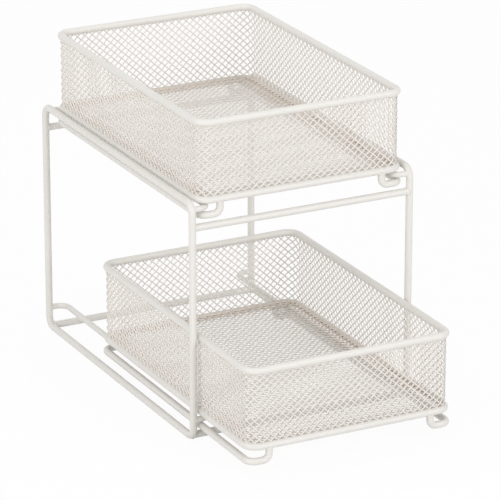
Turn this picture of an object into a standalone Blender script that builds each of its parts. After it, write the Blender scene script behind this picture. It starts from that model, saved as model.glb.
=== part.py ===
"""Pull-out organizer of coated steel wire: an open frame with two tiers of rails, and a mesh basket on each.

Metres, +Z up. The baskets are drawn out towards -Y, the front. The origin is on the floor, under the middle
of the whole object with its lower basket drawn out as it rests.
"""

import math

import bmesh
import bpy
from mathutils import Matrix, Vector

# Wires and mesh.
WIRE = 0.0056
RAIL_WIRE = 0.0046
NET_STRAND = 0.0016
NET_THICKNESS = 0.001

# Frame, measured between the centre lines of its wires.
FRAME_WIDTH = 0.184
FRAME_DEPTH = 0.265
FRAME_HEIGHT = 0.1868
LOOP_BEND = 0.008
TOP_BAR_DROP = 0.0183
RAIL_INSET = 0.0141
RAIL_BEND = 0.008

# Baskets: what one has of its own, and the room that it has in the frame, over the bars and round the rails.
BASKET_HEIGHT = 0.0602
BASKET_BEND = 0.010
BASKET_SIDE_ROOM = 0.00155
BASKET_END_ROOM = 0.00535
LEG_ROOM = 0.0045
RUNNER_ROOM = 0.0025
HOOK_PLAY = 0.0008
HOOK_BEND = 0.005
RUNNER_BEND = 0.007
FLANGE_WIDTH = 0.009

# Clearances: between welded wires, and between a rail and the basket ring that slides on it.
WELD_GAP = 0.0003
SLIDE_GAP = 0.0003

# How far each basket is drawn out as the object rests.
LOWER_DRAW = 0.084
UPPER_DRAW = 0.004

# Net patterns: half diamonds from one edge to the other.
WALL_ROWS = 3
FLOOR_ROWS = 15
STRAND_ANGLE = math.radians(45)

# Facets: sides of a wire, steps of a bend, and where round a loop's lower bend a bottom bar is welded.
WIRE_RESOLUTION = 3
BEND_STEPS = 4
BAR_TURN = math.radians(22.5)
CORNER_TURN = math.radians(90)

# Sizes that follow from the ones above.
WIRE_SIDES = 4 + 2 * WIRE_RESOLUTION
WIRE_FLAT = WIRE / 2 * math.cos(math.pi / WIRE_SIDES)
LOOP_X = FRAME_WIDTH / 2
UPRIGHT_Y = FRAME_DEPTH / 2
LOOP_BASE = WIRE_FLAT
LOOP_TOP = LOOP_BASE + FRAME_HEIGHT
WELD_X = LOOP_X - WIRE / 2 - WELD_GAP
BOTTOM_BAR_Y = UPRIGHT_Y - LOOP_BEND * (1 - math.sin(BAR_TURN))
BOTTOM_BAR_Z = LOOP_BASE + LOOP_BEND * (1 - math.cos(BAR_TURN))
RAIL_X = LOOP_X - RAIL_INSET
RAIL_ABOVE_BAR = WIRE / 2 + RUNNER_ROOM + WIRE + HOOK_PLAY + RAIL_WIRE / 2
RING_ABOVE_RAIL = RAIL_WIRE / 2 + SLIDE_GAP + WIRE / 2
BASKET_X = LOOP_X - WIRE - BASKET_SIDE_ROOM
BASKET_Y = UPRIGHT_Y - BASKET_END_ROOM
RUNNER_DROP = WIRE / 2 + SLIDE_GAP + RAIL_WIRE + HOOK_PLAY + WIRE / 2
LEG_X = RAIL_X - RAIL_WIRE / 2 - LEG_ROOM - WIRE / 2
FRAME_Y = (BASKET_Y + LOWER_DRAW - UPRIGHT_Y) / 2
TIERS = (("lower", BOTTOM_BAR_Z, LOWER_DRAW), ("upper", LOOP_TOP - TOP_BAR_DROP, UPPER_DRAW))

# Powder coat on the wires, and the same coat on the thinner mesh: colour, roughness and metallic value.
WIRE_COAT = ((0.80, 0.76, 0.71, 1.0), 0.42, 0.0)
RAIL_COAT = ((0.79, 0.75, 0.70, 1.0), 0.40, 0.0)
MESH_COAT = ((0.82, 0.79, 0.73, 1.0), 0.48, 0.0)


def clear_scene():
    for old in list(bpy.data.objects):
        bpy.data.objects.remove(old, do_unlink=True)


def coat(name, finish):
    """Gives each piece its own coated-metal material."""
    colour, roughness, metallic = finish
    material = bpy.data.materials.new(name + "_coat")
    material.use_nodes = True
    shader = material.node_tree.nodes["Principled BSDF"]
    shader.inputs["Base Color"].default_value = colour
    shader.inputs["Roughness"].default_value = roughness
    shader.inputs["Metallic"].default_value = metallic
    return material


def add_piece(name, data, parent, finish):
    """Puts a piece in the organizer's collection, on the empty that carries it."""
    piece = bpy.data.objects.new(name, data)
    data.materials.append(coat(name, finish))
    collection.objects.link(piece)
    piece.parent = parent
    return piece


def add_carrier(name, place):
    """An empty that carries the pieces which move as one."""
    carrier = bpy.data.objects.new(name, None)
    carrier.location = place
    collection.objects.link(carrier)
    return carrier


def bend(before, corner, after, radius):
    """Points of the arc of this radius that rounds one corner of a wire's centre line."""
    back = (before - corner).normalized()
    on = (after - corner).normalized()
    half = back.angle(on) / 2
    centre = corner + (back + on).normalized() * radius / math.sin(half)
    start = corner + back * radius / math.tan(half) - centre
    end = corner + on * radius / math.tan(half) - centre
    return [centre + start.slerp(end, step / BEND_STEPS) * radius for step in range(BEND_STEPS + 1)]


def bent_line(corners):
    """Centre line of a bent wire, from (corner, bend radius) pairs. An end of an open wire has no radius."""
    line = []
    for index, (corner, radius) in enumerate(corners):
        if radius is None:
            line.append(Vector(corner))
            continue
        before = Vector(corners[index - 1][0])
        after = Vector(corners[(index + 1) % len(corners)][0])
        line += bend(before, Vector(corner), after, radius)
    return line


def add_wire(name, corners, diameter, parent, finish, closed=False):
    """A round wire along its bent centre line, with flat ends if it is open."""
    curve = bpy.data.curves.new(name, "CURVE")
    curve.dimensions = "3D"
    curve.twist_mode = "MINIMUM"
    curve.bevel_depth = diameter / 2
    curve.bevel_resolution = WIRE_RESOLUTION
    curve.use_fill_caps = not closed
    line = bent_line(corners)
    spline = curve.splines.new("POLY")
    spline.points.add(len(line) - 1)
    for point, place in zip(spline.points, line):
        point.co = (*place, 1)
    spline.use_cyclic_u = closed
    spline.use_smooth = True
    return add_piece(name, curve, parent, finish)


def rectangle(half_x, half_y, radius):
    """Corners of a level rectangle about the origin, all bent to one radius."""
    turns = ((-1, 1), (-1, -1), (1, -1), (1, 1))
    return [((across * half_x, along * half_y, 0), radius) for across, along in turns]


def upright_reach(height):
    """How far from the middle a side loop's upright stands at this height, which is less within its top bend."""
    over = max(height - (LOOP_TOP - LOOP_BEND), 0)
    return UPRIGHT_Y - LOOP_BEND + math.sqrt(LOOP_BEND**2 - over**2)


def add_side_loop(name, side, frame):
    """One closed loop of wire that stands on edge: bottom bar, two uprights and top bar."""
    x = side * LOOP_X
    corners = [((x, along * UPRIGHT_Y, z), LOOP_BEND) for along, z in
               ((1, LOOP_BASE), (-1, LOOP_BASE), (-1, LOOP_TOP), (1, LOOP_TOP))]
    add_wire(name, corners, WIRE, frame, WIRE_COAT, closed=True)


def add_cross_bar(name, y, z, frame):
    """A straight wire from loop to loop, butted on the inner side of each."""
    add_wire(name, [((-WELD_X, y, z), None), ((WELD_X, y, z), None)], WIRE, frame, WIRE_COAT)


def add_rail(name, side, z, frame):
    """A thinner wire along the tier, with both ends bent outwards and butted on the uprights."""
    reach = upright_reach(z)
    corners = [
        ((side * WELD_X, reach, z), None),
        ((side * RAIL_X, reach, z), RAIL_BEND),
        ((side * RAIL_X, -reach, z), RAIL_BEND),
        ((side * WELD_X, -reach, z), None),
    ]
    add_wire(name, corners, RAIL_WIRE, frame, RAIL_COAT)


def add_runner(name, side, basket):
    """The wire under one side of a basket. Each end is bent in below the rail, then up to the base ring."""
    top = -WIRE / 2 - WELD_GAP
    corners = [
        ((side * LEG_X, BASKET_Y, top), None),
        ((side * LEG_X, BASKET_Y, -RUNNER_DROP), HOOK_BEND),
        ((side * BASKET_X, BASKET_Y, -RUNNER_DROP), RUNNER_BEND),
        ((side * BASKET_X, -BASKET_Y, -RUNNER_DROP), RUNNER_BEND),
        ((side * LEG_X, -BASKET_Y, -RUNNER_DROP), HOOK_BEND),
        ((side * LEG_X, -BASKET_Y, top), None),
    ]
    add_wire(name, corners, WIRE, basket, WIRE_COAT)


def strand_sheet(across, along, rows):
    """Flat net about the origin, larger than across by along: crossed strands, with half diamonds along it.

    It starts as a grid of unit cells. The cells with an odd column and row are the gaps, and the others are
    drawn in to the strands' width.
    """
    diagonal = 2 * (along - NET_STRAND) / rows
    pitch = diagonal * math.sin(STRAND_ANGLE)
    gaps = 2 * math.ceil(math.hypot(across, along + diagonal) / 2 / pitch)
    cells = 2 * gaps + 1
    sheet = bmesh.new()
    bmesh.ops.create_grid(sheet, x_segments=cells, y_segments=cells, size=cells / 2)
    open_cells = []
    for face in sheet.faces:
        centre = face.calc_center_median()
        column = round(centre.x + gaps)
        row = round(centre.y + gaps)
        if column % 2 and row % 2:
            open_cells.append(face)
    bmesh.ops.delete(sheet, geom=open_cells, context="FACES")
    span = gaps * pitch + NET_STRAND
    for vert in sheet.verts:
        for axis in (0, 1):
            edge = round(vert.co[axis] + cells / 2)
            vert.co[axis] = edge // 2 * pitch + edge % 2 * NET_STRAND - span / 2
    turn = Matrix.Rotation(STRAND_ANGLE, 3, "Z")
    bmesh.ops.rotate(sheet, verts=sheet.verts, cent=(0, 0, 0), matrix=turn)
    bmesh.ops.translate(sheet, verts=sheet.verts, vec=(0, rows % 2 * diagonal / 4, 0))
    return sheet


def cut_line(sheet, point, normal, trim):
    """Cuts the sheet along an upright plane, and with trim takes away what lies beyond it."""
    everything = sheet.verts[:] + sheet.edges[:] + sheet.faces[:]
    bmesh.ops.bisect_plane(sheet, geom=everything, plane_co=point, plane_no=normal, clear_outer=trim)


def drop_scraps(sheet):
    """Keeps the net's largest connected part, without the strand ends that trimming cuts loose."""
    left = set(sheet.faces)
    islands = []
    while left:
        island = set()
        grow = [left.pop()]
        while grow:
            face = grow.pop()
            island.add(face)
            for edge in face.edges:
                for other in edge.link_faces:
                    if other in left:
                        left.remove(other)
                        grow.append(other)
        islands.append(island)
    main = max(islands, key=len)
    scraps = [face for face in sheet.faces if face not in main]
    bmesh.ops.delete(sheet, geom=scraps, context="FACES")


def add_net(name, sheet, basket):
    """Gives a trimmed sheet its thickness, half to each side."""
    drop_scraps(sheet)
    bmesh.ops.triangulate(sheet, faces=sheet.faces)
    mesh = bpy.data.meshes.new(name)
    sheet.to_mesh(mesh)
    sheet.free()
    net = add_piece(name, mesh, basket, MESH_COAT)
    thickness = net.modifiers.new("thickness", "SOLIDIFY")
    thickness.thickness = NET_THICKNESS
    thickness.offset = 0
    return net


def add_wall(name, run, out, heading, basket):
    """One side of the mesh wall. Its two ends turn in through half a corner, where they meet the next sides."""
    low = WIRE / 2 + WELD_GAP
    high = BASKET_HEIGHT - WIRE / 2 - WELD_GAP
    flat = run - BASKET_BEND
    half_turn = BASKET_BEND * CORNER_TURN / 2
    end = flat + half_turn - WELD_GAP / 2
    sheet = strand_sheet(2 * end, high - low, WALL_ROWS)
    for side in (-1, 1):
        cut_line(sheet, (0, side * (high - low) / 2, 0), (0, side, 0), trim=True)
        cut_line(sheet, (side * end, 0, 0), (side, 0, 0), trim=True)
        cut_line(sheet, (side * flat, 0, 0), (side, 0, 0), trim=False)
        cut_line(sheet, (side * (flat + half_turn / 2), 0, 0), (side, 0, 0), trim=False)
    for vert in sheet.verts:
        over = abs(vert.co.x) - flat
        if over > 0:
            turned = over / BASKET_BEND
            vert.co.z = BASKET_BEND * (1 - math.cos(turned))
            vert.co.x = math.copysign(flat + BASKET_BEND * math.sin(turned), vert.co.x)
    wall = add_net(name, sheet, basket)
    wall.location = (-out * math.sin(heading), out * math.cos(heading), (low + high) / 2)
    wall.rotation_euler = (CORNER_TURN, 0, heading)


def add_floor(name, basket):
    """The mesh floor, level with the middle of the base ring and trimmed to the ring's rounded inside."""
    inside = WIRE / 2 + WELD_GAP
    half_x = BASKET_X - inside
    half_y = BASKET_Y - inside
    sheet = strand_sheet(2 * half_x, 2 * half_y, FLOOR_ROWS)
    for side in (-1, 1):
        cut_line(sheet, (side * half_x, 0, 0), (side, 0, 0), trim=True)
        cut_line(sheet, (0, side * half_y, 0), (0, side, 0), trim=True)
        for other in (-1, 1):
            for step in range(1, BEND_STEPS):
                turn = CORNER_TURN * step / BEND_STEPS
                normal = Vector((side * math.cos(turn), other * math.sin(turn), 0))
                middle = Vector((side * (BASKET_X - BASKET_BEND), other * (BASKET_Y - BASKET_BEND), 0))
                cut_line(sheet, middle + normal * (BASKET_BEND - inside), normal, trim=True)
    add_net(name, sheet, basket)


def add_flange(name, basket):
    """The lower edge of the mesh wall, turned in to lie on the floor as a flat band of doubled mesh."""
    curve = bpy.data.curves.new(name, "CURVE")
    curve.dimensions = "2D"
    curve.fill_mode = "BOTH"
    curve.extrude = NET_THICKNESS / 2
    inside = WIRE / 2 + WELD_GAP
    for inset, radius in ((inside, BASKET_BEND - inside), (inside + FLANGE_WIDTH, WIRE / 2)):
        line = bent_line(rectangle(BASKET_X - inset, BASKET_Y - inset, radius))
        spline = curve.splines.new("POLY")
        spline.points.add(len(line) - 1)
        for point, place in zip(spline.points, line):
            point.co = (*place, 1)
        spline.use_cyclic_u = True
    flange = add_piece(name, curve, basket, MESH_COAT)
    flange.location = (0, 0, NET_THICKNESS + WELD_GAP)


def add_basket(tier, bar_z, draw):
    """One basket on its carrier, which lies in the middle of its base ring and slides along Y."""
    ring_z = bar_z + RAIL_ABOVE_BAR + RING_ABOVE_RAIL
    basket = add_carrier(tier + "_basket", (0, FRAME_Y - draw, ring_z))
    add_wire(tier + "_base_ring", rectangle(BASKET_X, BASKET_Y, BASKET_BEND), WIRE, basket, WIRE_COAT, closed=True)
    rim = add_wire(tier + "_rim", rectangle(BASKET_X, BASKET_Y, BASKET_BEND), WIRE, basket, WIRE_COAT, closed=True)
    rim.location = (0, 0, BASKET_HEIGHT)
    add_runner(tier + "_left_runner", -1, basket)
    add_runner(tier + "_right_runner", 1, basket)
    sides = (("back", BASKET_X, BASKET_Y), ("left", BASKET_Y, BASKET_X),
             ("front", BASKET_X, BASKET_Y), ("right", BASKET_Y, BASKET_X))
    for quarter, (side, run, out) in enumerate(sides):
        add_wall(f"{tier}_{side}_mesh", run, out, quarter * CORNER_TURN, basket)
    add_floor(tier + "_floor_mesh", basket)
    add_flange(tier + "_mesh_flange", basket)


def add_frame():
    """Two side loops, the four bars between them, and two rails a tier, all welded."""
    frame = add_carrier("frame", (0, FRAME_Y, 0))
    add_side_loop("left_side_loop", -1, frame)
    add_side_loop("right_side_loop", 1, frame)
    (_, lower_z, _), (_, upper_z, _) = TIERS
    add_cross_bar("front_bottom_bar", -BOTTOM_BAR_Y, lower_z, frame)
    add_cross_bar("back_bottom_bar", BOTTOM_BAR_Y, lower_z, frame)
    add_cross_bar("front_top_bar", -UPRIGHT_Y, upper_z, frame)
    add_cross_bar("back_top_bar", UPRIGHT_Y, upper_z, frame)
    for tier, bar_z, _ in TIERS:
        add_rail(tier + "_left_rail", -1, bar_z + RAIL_ABOVE_BAR, frame)
        add_rail(tier + "_right_rail", 1, bar_z + RAIL_ABOVE_BAR, frame)


clear_scene()
collection = bpy.data.collections.new("pull_out_organizer")
bpy.context.scene.collection.children.link(collection)
add_frame()
for tier_name, tier_bar_z, tier_draw in TIERS:
    add_basket(tier_name, tier_bar_z, tier_draw)
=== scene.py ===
"""Pull-out organizer of coated wire: the finished look of its open frame and two sliding mesh baskets."""

import math

import bpy
import numpy as np
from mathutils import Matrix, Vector


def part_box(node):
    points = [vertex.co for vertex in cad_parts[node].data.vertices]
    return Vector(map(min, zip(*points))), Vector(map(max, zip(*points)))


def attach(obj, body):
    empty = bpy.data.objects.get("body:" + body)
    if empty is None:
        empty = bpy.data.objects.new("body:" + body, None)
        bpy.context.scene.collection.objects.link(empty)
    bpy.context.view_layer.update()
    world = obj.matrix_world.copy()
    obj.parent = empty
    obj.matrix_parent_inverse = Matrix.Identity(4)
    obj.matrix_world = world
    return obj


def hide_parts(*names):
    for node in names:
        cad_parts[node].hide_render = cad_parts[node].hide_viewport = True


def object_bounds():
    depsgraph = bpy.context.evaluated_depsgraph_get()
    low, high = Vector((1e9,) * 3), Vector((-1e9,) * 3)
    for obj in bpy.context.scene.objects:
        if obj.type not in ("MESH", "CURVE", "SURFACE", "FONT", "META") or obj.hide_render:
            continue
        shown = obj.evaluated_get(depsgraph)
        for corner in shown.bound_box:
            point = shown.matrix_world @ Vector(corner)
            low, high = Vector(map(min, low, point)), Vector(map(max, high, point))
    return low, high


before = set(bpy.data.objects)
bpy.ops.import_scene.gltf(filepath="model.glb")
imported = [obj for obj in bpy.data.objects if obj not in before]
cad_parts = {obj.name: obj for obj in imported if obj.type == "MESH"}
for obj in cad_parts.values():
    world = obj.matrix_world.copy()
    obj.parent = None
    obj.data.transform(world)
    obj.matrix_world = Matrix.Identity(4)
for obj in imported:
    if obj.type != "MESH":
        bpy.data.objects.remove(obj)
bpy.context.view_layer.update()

# Side loops. Each is one length of round steel wire, 5.6 mm thick with its coat, bent to a rectangle and
# butt-welded to itself at the middle of its bottom bar. The powder coat is a warm off-white.
HANDS = {"left": -1, "right": 1}
WIRE = 0.0056
WIRE_SIDES = 28
SOLID_SIDES = 10
# The solids' wires have flat sides. Where a box ends at a flat one, the centre line lies this far inside.
SOLID_FLAT = WIRE / 2 * math.cos(math.pi / SOLID_SIDES)
LOOP_BEND = 0.008
BEND_STEPS = 10
SEAM_SWELL = 0.05
SWELL_LENGTH = 0.0016
# A run has close steps over this length at each end, or over this share of it if it is short.
SWELL_REACH = 2.5 * SWELL_LENGTH
SWELL_REACH_SHARE = 0.45
SWELL_STEPS = 7
# A direction that no wire runs along.
SLANT = np.array((0.42, 0.57, 0.71))
WIRE_COLOUR = (0.785, 0.763, 0.725, 1.0)
WIRE_ROUGHNESS = 0.42
CLOUD_SIZE = 0.045
CLOUD_OCTAVES = 3.0
CLOUD_SHADE = 0.955
PEEL_SIZE = 0.0011
PEEL_OCTAVES = 2.0
PEEL_DEPTH = 0.00002
PEEL_ROUGHNESS = 0.1


class Link:
    """One output of a shader node, so that maths on it can be written as a Python expression."""

    def __init__(self, shader, socket):
        self.shader = shader
        self.socket = socket

    def maths(self, operation, first, second):
        return self.shader.node("ShaderNodeMath", {"operation": operation}, {0: first, 1: second})

    def __add__(self, other):
        return self.maths("ADD", self, other)

    def __sub__(self, other):
        return self.maths("SUBTRACT", self, other)

    def __rsub__(self, other):
        return self.maths("SUBTRACT", other, self)

    def __mul__(self, other):
        return self.maths("MULTIPLY", self, other)

    __radd__ = __add__
    __rmul__ = __mul__


class Shader:
    """The nodes of a material or of the world: its surface node, and the one method that adds any other."""

    def __init__(self, owner, surface="Principled BSDF"):
        owner.use_nodes = True
        self.owner = owner
        self.tree = owner.node_tree
        self.surface = self.tree.nodes[surface]

    def set(self, node, inputs):
        """Gives a node's sockets their values or links."""
        for key, value in inputs.items():
            if isinstance(value, Link):
                self.tree.links.new(value.socket, node.inputs[key])
            else:
                node.inputs[key].default_value = value

    def node(self, kind, settings, inputs, output=0):
        """Adds a node of a kind with its settings and sockets, and returns one of its outputs."""
        node = self.tree.nodes.new(kind)
        for key, value in settings.items():
            setattr(node, key, value)
        self.set(node, inputs)
        return Link(self, node.outputs[output])

    def noise(self, size, octaves):
        """Noise from 0 to 1 in the piece's own coordinates, whose lumps are about this size in metres."""
        place = self.node("ShaderNodeTexCoord", {}, {}, "Object")
        return self.node("ShaderNodeTexNoise", {}, {"Vector": place, "Scale": 1 / size, "Detail": octaves})

    def blend(self, factor, first, second):
        """The first colour where factor is 0, and the second where it is 1."""
        inputs = {"Factor": factor, 6: first, 7: second}
        return self.node("ShaderNodeMix", {"data_type": "RGBA"}, inputs, 2)


def clouded(shader, colour):
    """The colour, going to a slightly deeper shade of it as broad noise goes from 0 to 1."""
    deeper = tuple(CLOUD_SHADE * part for part in colour[:3]) + (1.0,)
    return shader.blend(shader.noise(CLOUD_SIZE, CLOUD_OCTAVES), colour, deeper)


def orange_peel(shader):
    """The fine dimples of a baked coat: noise from 0 to 1, and the surface's direction bent by it."""
    peel = shader.noise(PEEL_SIZE, PEEL_OCTAVES)
    inputs = {"Strength": 1.0, "Distance": PEEL_DEPTH, "Height": peel}
    return peel, shader.node("ShaderNodeBump", {}, inputs)


def powder_coat(name, colour, roughness):
    """Satin powder coat: faintly clouded colour, and orange peel that is a little rougher on its highs."""
    shader = Shader(bpy.data.materials.new(name))
    peel, bump = orange_peel(shader)
    shader.set(shader.surface, {
        "Base Color": clouded(shader, colour),
        "Roughness": roughness - PEEL_ROUGHNESS / 2 + PEEL_ROUGHNESS * peel,
        "Normal": bump,
    })
    return shader.owner


def add_surface(name, points, faces, material, body, nodes):
    """Makes a piece of vertices and faces, ties it to its body, and hides the solids that it stands for."""
    mesh = bpy.data.meshes.new(name)
    mesh.from_pydata(points.tolist(), [], faces.tolist())
    mesh.shade_smooth()
    mesh.materials.append(material)
    piece = bpy.data.objects.new(name, mesh)
    bpy.context.scene.collection.objects.link(piece)
    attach(piece, body)
    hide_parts(*nodes)
    return piece


def bent(corners, radii):
    """Centre line of a bent wire: at each corner an arc of its radius, turned from the line that comes in
    to the line that goes on. A corner without a radius is an end."""
    corners = np.array(corners, float)
    line = []
    for index, radius in enumerate(radii):
        corner = corners[index]
        if not radius:
            line.append(corner[None])
            continue
        back = corners[index - 1] - corner
        ahead = corners[(index + 1) % len(corners)] - corner
        back /= np.linalg.norm(back)
        ahead /= np.linalg.norm(ahead)
        half = math.acos(back @ ahead) / 2
        halfway = (back + ahead) / np.linalg.norm(back + ahead)
        centre = corner + halfway * radius / math.sin(half)
        first = corner + back * radius / math.tan(half) - centre
        turned = np.linspace(0, math.pi - 2 * half, BEND_STEPS + 1)[:, None]
        line.append(centre + np.cos(turned) * first - np.sin(turned) * back * radius)
    return np.concatenate(line)


def swept(line, radii, closed=False, sides=WIRE_SIDES):
    """Round wire: at each point of the centre line, a circle of that point's radius, square to the line.

    The circle is spanned by two directions: a fixed slanting one with its part along the wire taken away,
    and the one square to both. The flat ends of an open wire are fans of quads. Returns vertices and
    quads."""
    if closed:
        along = np.roll(line, -1, 0) - np.roll(line, 1, 0)
    else:
        along = np.gradient(line, axis=0)
    along /= np.linalg.norm(along, axis=1, keepdims=True)
    one = SLANT - along * (along @ SLANT)[:, None]
    one /= np.linalg.norm(one, axis=1, keepdims=True)
    two = np.cross(along, one)
    turn = np.linspace(0, 2 * math.pi, sides, endpoint=False)[:, None]
    ring = one[:, None] * np.cos(turn) + two[:, None] * np.sin(turn)
    points = line[:, None] + ring * np.broadcast_to(radii, len(line))[:, None, None]
    count = len(line)
    step = np.arange(count if closed else count - 1)[:, None] * sides
    after = (step + sides) % (count * sides)
    side = np.arange(sides)
    beside = (side + 1) % sides
    quads = np.stack([step + side, step + beside, after + beside, after + side], -1).reshape(-1, 4)
    if not closed:
        fan = np.arange(1, sides - 2, 2)[:, None] + (0, 1, 2)
        fan = np.concatenate([np.zeros((len(fan), 1), int), fan], 1)
        quads = np.concatenate([quads, fan[:, ::-1], fan + (count - 1) * sides])
    return points.reshape(-1, 3), quads


def swell_near(line, weld):
    """How much a wire swells at each point: 1 at the weld, falling off like a bell away from it."""
    return np.exp(-(np.linalg.norm(line - weld, axis=1) / SWELL_LENGTH) ** 2)


def stepped(first, second):
    """Points from one end of a straight run to the other: even close steps within the swell's reach of each
    end, and one long step between."""
    first = np.asarray(first, float)
    second = np.asarray(second, float)
    length = np.linalg.norm(second - first)
    near = np.linspace(0, min(SWELL_REACH, SWELL_REACH_SHARE * length), SWELL_STEPS) / length
    share = np.concatenate([near, 1 - near[::-1]])[:, None]
    return first + (second - first) * share


def middle(node):
    """Centre of a solid's box: half the sum of its lowest and its highest corner."""
    low, high = (np.array(corner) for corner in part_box(node))
    return (low + high) / 2


def reach(node):
    """Half the size of a solid's box along each axis."""
    low, high = (np.array(corner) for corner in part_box(node))
    return (high - low) / 2


wire_coat = powder_coat("wire_coat", WIRE_COLOUR, WIRE_ROUGHNESS)
for hand in HANDS:
    node = hand + "_side_loop"
    x, y, z = middle(node)
    half_y = reach(node)[1] - SOLID_FLAT
    half_z = reach(node)[2] - SOLID_FLAT
    line = bent([(x, y + half_y, z - half_z), (x, y - half_y, z - half_z),
                 (x, y - half_y, z + half_z), (x, y + half_y, z + half_z)], [LOOP_BEND] * 4)
    seam = (x, y, z - half_z)
    before = stepped((x, y + half_y - LOOP_BEND, z - half_z), seam)[1:]
    after = stepped(seam, (x, y - half_y + LOOP_BEND, z - half_z))[1:-1]
    line = np.concatenate([line[:BEND_STEPS + 1], before, after, line[BEND_STEPS + 1:]])
    points, faces = swept(line, WIRE / 2 * (1 + SEAM_SWELL * swell_near(line, seam)), closed=True)
    add_surface(node + "_wire", points, faces, wire_coat, "frame", [node])

# Cross bars. Four straight lengths of the same wire stand between the loops, and each end is resistance
# welded to a loop's inner side, which leaves a small swollen collar under the coat.
WELD_SWELL = 0.17
WELD_SINK = 0.0015


def add_welded_wire(node, line, radius, material, body):
    """Makes the wire that stands for a solid: an open line, with its radius swollen at both welded ends."""
    radii = radius * (1 + WELD_SWELL * (swell_near(line, line[0]) + swell_near(line, line[-1])))
    points, faces = swept(line, radii)
    add_surface(node + "_wire", points, faces, material, body, [node])


weld_x = middle("right_side_loop")[0] - WIRE / 2 + WELD_SINK
for node in ("front_bottom_bar", "back_bottom_bar", "front_top_bar", "back_top_bar"):
    _, y, z = middle(node)
    line = stepped((-weld_x, y, z), (weld_x, y, z))
    add_welded_wire(node, line, WIRE / 2, wire_coat, "frame")

# Rails. Four lengths of thinner 4.6 mm wire, two a tier. Their ends are bent outwards and welded to the
# loops' uprights, and the coat is burnished along the underside, where the baskets' hooks slide.
TIERS = ("lower", "upper")
RAIL_WIRE = 0.0046
RAIL_BEND = 0.008
RAIL_COLOUR = (0.775, 0.755, 0.717, 1.0)
RUB_COLOUR = (0.70, 0.675, 0.635, 1.0)
RUB_COLOUR_SHARE = 0.35
RUB_ROUGHNESS = 0.27
RUB_STREAK = 0.003
RUB_OCTAVES = 3.0
RUB_START = 1.1
RUB_FULL = 1.5


def rail_coat_material():
    """Powder coat that is smoother and a little greyer in broken streaks where its surface faces down.

    The streaks' noise, less the upward part of the surface's direction, is mapped smoothly to how much the
    coat is rubbed: 0 where it is at the rub's start, and 1 where it is at its full value."""
    shader = Shader(bpy.data.materials.new("rail_coat"))
    peel, bump = orange_peel(shader)
    direction = shader.node("ShaderNodeTexCoord", {}, {}, "Normal")
    upward = shader.node("ShaderNodeSeparateXYZ", {}, {0: direction}, 2)
    streak = shader.noise(RUB_STREAK, RUB_OCTAVES)
    rubbed = shader.node("ShaderNodeMapRange", {"interpolation_type": "SMOOTHSTEP"},
                         {"Value": streak - upward, "From Min": RUB_START, "From Max": RUB_FULL})
    smoother = (WIRE_ROUGHNESS - RUB_ROUGHNESS) * rubbed
    shader.set(shader.surface, {
        "Base Color": shader.blend(RUB_COLOUR_SHARE * rubbed, clouded(shader, RAIL_COLOUR), RUB_COLOUR),
        "Roughness": WIRE_ROUGHNESS - PEEL_ROUGHNESS / 2 + PEEL_ROUGHNESS * peel - smoother,
        "Normal": bump,
    })
    return shader.owner


def welded_line(corners, radii):
    """Centre line of a bent wire with welded ends: its bends' arcs, with the close steps of a straight run
    between each end and the arc next to it."""
    bends = bent(corners, [None, *radii, None])
    first = stepped(bends[0], bends[1])[:SWELL_STEPS]
    last = stepped(bends[-2], bends[-1])[-SWELL_STEPS:]
    return np.concatenate([first, bends[1:-1], last])


rail_coat = rail_coat_material()
for tier in TIERS:
    for hand, side in HANDS.items():
        node = f"{tier}_{hand}_rail"
        x, y, z = middle(node)
        inner = side * (abs(x) - reach(node)[0] + RAIL_WIRE / 2)
        outer = side * weld_x
        half_y = reach(node)[1] - RAIL_WIRE / 2
        line = welded_line([(outer, y + half_y, z), (inner, y + half_y, z),
                            (inner, y - half_y, z), (outer, y - half_y, z)], [RAIL_BEND] * 2)
        add_welded_wire(node, line, RAIL_WIRE / 2, rail_coat, "frame")

# Basket rings. Each basket has a base ring and a rim, rounded rectangles of the same wire as the loops, and
# the mesh is welded to both. The base ring's upper inner quarter, in the shade inside the basket, gets a
# darker, browner colour than the wire coat: painted shade.
BASKET_BEND = 0.010
CORNER_SHADE_COLOUR = (0.745, 0.695, 0.64, 1.0)


def ring_line(node):
    """Centre line of a ring: a rectangle half a wire inside the solid's box, with an arc at each corner."""
    x, y, z = middle(node)
    half_x, half_y = reach(node)[:2] - WIRE / 2
    signs = ((-1, 1), (-1, -1), (1, -1), (1, 1))
    corners = [(x + across * half_x, y + along * half_y, z) for across, along in signs]
    return bent(corners, [BASKET_BEND] * 4)


def coat_some(piece, material, chosen):
    """Gives the chosen faces of a piece a second material."""
    piece.data.materials.append(material)
    piece.data.polygons.foreach_set("material_index", chosen.astype(int))


def in_corner(points, faces, line, centre):
    """For each face of a ring, whether it lies above the wire's centre line and towards the ring's middle.

    A face's offset is its middle less the middle of the line's step that it goes round. It is towards the
    ring's middle where its product with the way there is more than 0."""
    along = (line + np.roll(line, -1, 0)) / 2
    offset = points[faces].mean(1).reshape(len(line), WIRE_SIDES, 3) - along[:, None]
    inward = (offset * (centre - along)[:, None]).sum(2) > 0
    return (inward & (offset[..., 2] > 0)).ravel()


# Painted shade: the wire coat made darker and browner for the shade on the ring's inner upper quarter.
corner_shade_coat = powder_coat("corner_shade_coat", CORNER_SHADE_COLOUR, WIRE_ROUGHNESS)
for tier in TIERS:
    for name in ("base_ring", "rim"):
        node = f"{tier}_{name}"
        line = ring_line(node)
        points, faces = swept(line, WIRE / 2, closed=True)
        ring = add_surface(node + "_wire", points, faces, wire_coat, tier + "_basket", [node])
        if name == "base_ring":
            coat_some(ring, corner_shade_coat, in_corner(points, faces, line, middle(node)))

# Runners. Under each side of a basket lies one more length of that wire. Both its ends are bent in below
# the rail and up again to the base ring, where they are welded, so that they hook the basket to its rails.
HOOK_BEND = 0.005
RUNNER_BEND = 0.007

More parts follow.
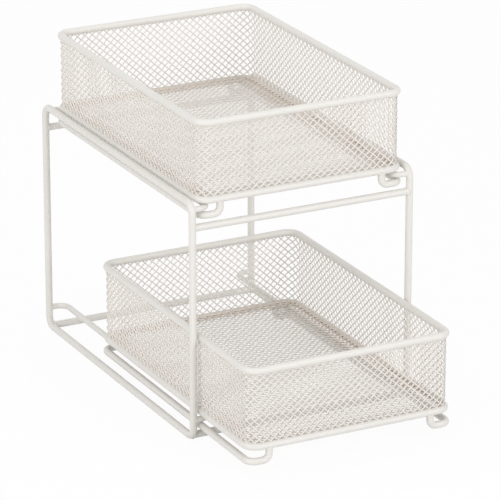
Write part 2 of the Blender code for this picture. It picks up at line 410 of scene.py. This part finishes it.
for tier in TIERS:
    top = middle(tier + "_base_ring")[2] - WIRE / 2 + WELD_SINK
    for hand, side in HANDS.items():
        node = f"{tier}_{hand}_runner"
        x, y, z = middle(node)
        half_x, half_y = reach(node)[:2] - WIRE / 2
        under = z - reach(node)[2] + SOLID_FLAT
        inner = x - side * half_x
        outer = x + side * half_x
        corners = [(inner, y + half_y, top), (inner, y + half_y, under), (outer, y + half_y, under),
                   (outer, y - half_y, under), (inner, y - half_y, under), (inner, y - half_y, top)]
        line = welded_line(corners, [HOOK_BEND, RUNNER_BEND, RUNNER_BEND, HOOK_BEND])
        add_welded_wire(node, line, WIRE / 2, wire_coat, tier + "_basket")

# Mesh walls. One strip of plain-woven wire mesh runs round the basket between the two rings and is
# spot-welded to both. Its strands cross slantwise in cells that are a little wider than they are high.
STRAND = 0.00105
STRAND_SIDES = 6
WEAVE_DEPTH = 0.00036
WALL_CELLS = 130
CELL_SHAPE = 0.91
MESH_COLOUR = (0.845, 0.806, 0.760, 1.0)
MESH_ROUGHNESS = 0.46


def basket_plan(tier):
    """Centre of a basket's base ring, half its two sides between the wire's centre lines, and the width of
    a cell of the mesh: the length round the ring, which is its straight sides and one full circle of its
    bends, shared among the cells."""
    half_x, half_y = reach(tier + "_base_ring")[:2] - WIRE / 2
    around = 4 * (half_x + half_y - 2 * BASKET_BEND) + 2 * math.pi * BASKET_BEND
    return middle(tier + "_base_ring"), half_x, half_y, around / WALL_CELLS


def rounded_place(along, half_x, half_y, bend):
    """The point, and the outward direction, at each length along a rounded rectangle.

    It starts at the middle of the front and goes round by the right, in nine runs that are by turns
    straight and a quarter circle of the bend. On a straight run the point is a share of the way from its
    start to its end. On a quarter circle it is the centre plus the bend times the outward direction, which
    turns evenly there."""
    side_x = half_x - bend
    side_y = half_y - bend
    arc = math.pi / 2 * bend
    runs = np.array([side_x, arc, 2 * side_y, arc, 2 * side_x, arc, 2 * side_y, arc, side_x])
    ends = np.concatenate([[0], np.cumsum(runs)])
    along = np.mod(along, ends[-1])
    turned = np.interp(along, ends, math.pi / 2 * (np.arange(len(ends)) // 2))
    out = np.stack([np.sin(turned), -np.cos(turned)], -1)
    end_places = np.array([(0, -half_y), (side_x, -half_y), (half_x, -side_y), (half_x, side_y),
                           (side_x, half_y), (-side_x, half_y), (-half_x, side_y), (-half_x, -side_y),
                           (-side_x, -half_y), (0, -half_y)])
    run = np.clip(np.searchsorted(ends, along, "right") - 1, 0, len(runs) - 1)
    share = ((along - ends[run]) / runs[run])[..., None]
    place = end_places[run] * (1 - share) + end_places[run + 1] * share
    centres = np.array([(side_x, -side_y), (side_x, side_y), (-side_x, side_y), (-side_x, -side_y)])
    centre = centres[np.minimum(run // 2, len(centres) - 1)]
    on_arc = (run % 2 == 1)[..., None]
    return np.where(on_arc, centre + bend * out, place), out


def woven(starts, lengths, rise, cell, place):
    """Parallel strands of a plain weave, all in one piece.

    A strand leaves its start (u, v) and runs for its length along u, with v rising (or falling, if rise is
    -1) by the cell's shape times as much. It has a point at each end and at each crossing, which are half a
    cell apart along u. There it lies over or under the sheet by turns: its height is the weave's depth
    times the cosine of pi times the count of half cells, and the strands of the other direction lie the
    other way. place maps u, v and height to space. Returns vertices and quads."""
    points = []
    quads = []
    count = 0
    for (u, v), length in zip(starts, lengths):
        inner = np.arange(math.floor(2 * u / cell) + 1, math.ceil(2 * (u + length) / cell)) * cell / 2
        inner = inner[(inner > u + STRAND / 2) & (inner < u + length - STRAND / 2)]
        us = np.concatenate([[u], inner, [u + length]])
        height = rise * WEAVE_DEPTH * np.cos(2 * math.pi * us / cell)
        line = place(us, v + rise * CELL_SHAPE * (us - u), height)
        wire, sides = swept(line, STRAND / 2, sides=STRAND_SIDES)
        points.append(wire)
        quads.append(sides + count)
        count += len(wire)
    return np.concatenate(points), np.concatenate(quads)


def joined(*parts):
    """Several (vertices, quads) as one, each one's quads counted on from the vertices before it."""
    counts = np.cumsum([0] + [len(points) for points, _ in parts[:-1]])
    quads = [quads + count for (_, quads), count in zip(parts, counts)]
    return np.concatenate([points for points, _ in parts]), np.concatenate(quads)


def wall_mesh(tier):
    """Strands of both directions round a basket, from the base ring's centre line up to the rim's.

    u goes round the ring and v up. A strand takes a run of the height divided by the cell's shape. The
    rising ones start a cell apart at the base ring, and the falling ones come down to those same places."""
    (x, y, low), half_x, half_y, cell = basket_plan(tier)
    height = middle(tier + "_rim")[2] - low

    def on_wall(u, v, over):
        """The point at u round the ring and v above it, moved outwards by the height over the sheet."""
        place, out = rounded_place(u, half_x, half_y, BASKET_BEND)
        return np.concatenate([(x, y) + place + out * over[:, None], low + v[:, None]], 1)

    run = height / CELL_SHAPE
    lengths = np.full(WALL_CELLS, run)
    columns = np.arange(WALL_CELLS) * cell
    low_starts = np.stack([columns, 0 * columns], 1)
    high_starts = low_starts + (math.ceil(run / cell) * cell - run, height)
    return joined(woven(low_starts, lengths, 1, cell, on_wall),
                  woven(high_starts, lengths, -1, cell, on_wall))


mesh_coat = powder_coat("mesh_coat", MESH_COLOUR, MESH_ROUGHNESS)
for tier in TIERS:
    points, quads = wall_mesh(tier)
    nodes = [f"{tier}_{side}_mesh" for side in ("front", "back", "left", "right")]
    add_surface(tier + "_mesh_walls", points, quads, mesh_coat, tier + "_basket", nodes)

# Mesh floors. A flat panel of the same woven mesh lies inside the base ring, and the wall strip's lower
# edge is folded in over it and spot-welded, a doubled band along all four sides. Along the back and the two
# sides the band is coloured browner for the shade between and under the layers: painted shade.
FLANGE_WIDTH = 0.009
FLANGE_LIFT = 0.0015
FLANGE_SHIFT_SHARE = 0.25
FLANGE_SHADE_COLOUR = (0.84, 0.77, 0.70, 1.0)
PARALLEL_SLOPE = 1e-9


def inside(starts, direction, planes):
    """The part of each line through a start along the direction that is inside all half-planes.

    A half-plane (a, b, c) is where a x + b y <= c. Each one that isn't parallel to the lines bounds the
    distance along them from one side: its room at the start divided by how fast the line uses it up.
    Returns the kept starts and how far they run."""
    slope = planes[:, :2] @ direction
    room = planes[:, 2] - starts @ planes[:, :2].T
    cross = np.abs(slope) > PARALLEL_SLOPE
    kept = (room[:, ~cross] >= 0).all(1)
    share = room[:, cross] / slope[cross]
    low = np.where(slope[cross] < 0, share, -np.inf).max(1)
    high = np.where(slope[cross] > 0, share, np.inf).min(1)
    kept &= high - low > STRAND
    return (starts + low[:, None] * direction)[kept], (high - low)[kept]


def woven_panel(planes, cell, shift, centre, lift):
    """A level panel of plain weave inside the half-planes, in vertices and quads.

    It lies the lift above the centre, from which u and v go along x and y. The strands of each direction
    cross the line v = 0 a cell apart, one of them at the shift."""
    x, y, z = centre
    parts = []
    planes = np.array(planes, float)
    span = np.abs(planes[:, 2]).max()
    for rise in (1, -1):
        columns = np.arange(-math.ceil(2 * span / cell), math.ceil(2 * span / cell) + 1) * cell
        direction = np.array((1.0, rise * CELL_SHAPE))
        starts, lengths = inside(np.stack([columns + shift, 0 * columns], 1), direction, planes)
        parts.append(woven(starts - (shift, 0), lengths, rise, cell,
                           lambda u, v, over: np.stack([x + (u + shift), y + v, z + lift + over], 1)))
    return joined(*parts)


def flange_edges(a, b, half_x, half_y):
    """Half-planes of the band along the side that faces (a, b): that side's own edge, the line that lies
    the flange's width inside the ring, and at each end a mitre at 45 degrees through the sides' corner."""
    out, across = (half_x, half_y) if a else (half_y, half_x)
    width = WIRE / 2 + FLANGE_WIDTH
    mitres = [(b * b * end - a, a * a * end - b, across - out) for end in (-1, 1)]
    return [(a, b, out), (-a, -b, width - out)] + mitres


# Painted shade: the mesh coat made browner for the shade in the doubled band.
flange_shade_coat = powder_coat("flange_shade_coat", FLANGE_SHADE_COLOUR, MESH_ROUGHNESS)
for tier in TIERS:
    centre, half_x, half_y, cell = basket_plan(tier)
    # Each corner is cut along the line at 45 degrees that touches the ring's bend.
    corner = half_x + half_y - (2 - math.sqrt(2)) * BASKET_BEND
    corner_cuts = [(a, b, corner) for a in (-1, 1) for b in (-1, 1)]
    edges = [(a, 0, half_x) for a in (-1, 1)] + [(0, b, half_y) for b in (-1, 1)]
    points, quads = woven_panel(edges + corner_cuts, cell, 0, centre, 0)
    add_surface(tier + "_mesh_floor", points, quads, mesh_coat,
                tier + "_basket", [tier + "_floor_mesh"])
    strips = []
    for a, b in ((0, -1), (0, 1), (-1, 0), (1, 0)):
        planes = flange_edges(a, b, half_x, half_y) + corner_cuts
        strips.append(woven_panel(planes, cell, FLANGE_SHIFT_SHARE * cell, centre, FLANGE_LIFT))
    points, quads = joined(*strips)
    band = add_surface(tier + "_mesh_flange_band", points, quads, flange_shade_coat,
                       tier + "_basket", [tier + "_mesh_flange"])
    # The front strip gets the plain mesh coat, without the painted shade.
    front_quads = len(strips[0][1])
    coat_some(band, mesh_coat, np.arange(len(quads)) < front_quads)

# Table, light and camera. The organizer stands on a wide sheet of pale paper that keeps its shadow, under
# three soft lamps and an even white surround. None of this is part of it.
FLOOR_SIZE = 12.0
WHITE = (1.0, 1.0, 1.0, 1.0)
PAPER_COLOUR = (0.90, 0.90, 0.90, 1.0)
PAPER_ROUGHNESS = 0.9
PAPER_GLOW_SHARE = 0.94
WORLD_LIGHT = 0.655
LAMP_AIM = (0, 0, 0.1)
# Each lamp's place, its width and its power in watts.
LAMPS = {
    "key": ((0.9, -2.2, 1.1), 1.2, 17),
    "fill": ((-1.8, -0.9, 1.0), 1.4, 14),
    "top": ((0.0, 0.3, 1.5), 0.8, 2.5),
}
CAMERA_PLACE = (-1.2400, -2.4375, 1.1190)
CAMERA_TURN = 27.027
CAMERA_TILT = 20.289
CAMERA_LENS = 270.3
CAMERA_SIGHT = 100


def background_rays(shader):
    """1 for a ray that shows the background, straight or by a reflection or through glass, and 0 for light:
    the greatest of the three kinds' marks."""
    seen = shader.node("ShaderNodeLightPath", {}, {}, "Is Camera Ray")
    for kind in ("Is Glossy Ray", "Is Transmission Ray"):
        seen = seen.maths("MAXIMUM", seen, shader.node("ShaderNodeLightPath", {}, {}, kind))
    return seen


def paper_material():
    """Matt pale paper that keeps the shadow on it. To rays that show the background it is a fixed share of
    plain white glow, and lit paper for the rest."""
    shader = Shader(bpy.data.materials.new("paper"))
    matt = {"Base Color": PAPER_COLOUR, "Roughness": PAPER_ROUGHNESS, "Specular IOR Level": 0.0}
    shader.set(shader.surface, matt)
    glow = shader.node("ShaderNodeEmission", {}, {"Color": WHITE, "Strength": 1.0})
    lit = Link(shader, shader.surface.outputs[0])
    share = background_rays(shader) * PAPER_GLOW_SHARE
    mixed = shader.node("ShaderNodeMixShader", {}, {0: share, 1: lit, 2: glow})
    shader.set(shader.tree.nodes["Material Output"], {"Surface": mixed})
    return shader.owner


def add_lamp(name, place, width, power):
    """A round soft lamp that is turned from its place to the lamps' common aim."""
    data = bpy.data.lights.new(name, "AREA")
    data.shape = "DISK"
    data.size = width
    data.energy = power
    lamp = bpy.data.objects.new(name, data)
    bpy.context.scene.collection.objects.link(lamp)
    lamp.location = place
    way = Vector(LAMP_AIM) - Vector(place)
    lamp.rotation_euler = way.to_track_quat("-Z", "Y").to_euler()


floor_mesh = bpy.data.meshes.new("table")
floor_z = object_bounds()[0][2]
edge = FLOOR_SIZE / 2
floor_corners = [(a * edge, b * edge, floor_z) for a, b in ((-1, -1), (1, -1), (1, 1), (-1, 1))]
floor_mesh.from_pydata(floor_corners, [], [(0, 1, 2, 3)])
floor_mesh.materials.append(paper_material())
table = bpy.data.objects.new("table", floor_mesh)
bpy.context.scene.collection.objects.link(table)

studio = Shader(bpy.data.worlds.new("studio"), "Background")
surround = WORLD_LIGHT + (1 - WORLD_LIGHT) * background_rays(studio)
studio.set(studio.surface, {"Color": WHITE, "Strength": surround})
bpy.context.scene.world = studio.owner

for name, (place, width, power) in LAMPS.items():
    add_lamp(name, place, width, power)

camera_data = bpy.data.cameras.new("camera")
camera_data.lens = CAMERA_LENS
camera_data.clip_end = CAMERA_SIGHT
camera = bpy.data.objects.new("camera", camera_data)
bpy.context.scene.collection.objects.link(camera)
camera.location = CAMERA_PLACE
camera.rotation_euler = (math.radians(90 - CAMERA_TILT), 0, -math.radians(CAMERA_TURN))
bpy.context.scene.camera = camera
bpy.context.scene.view_settings.view_transform = "Standard"
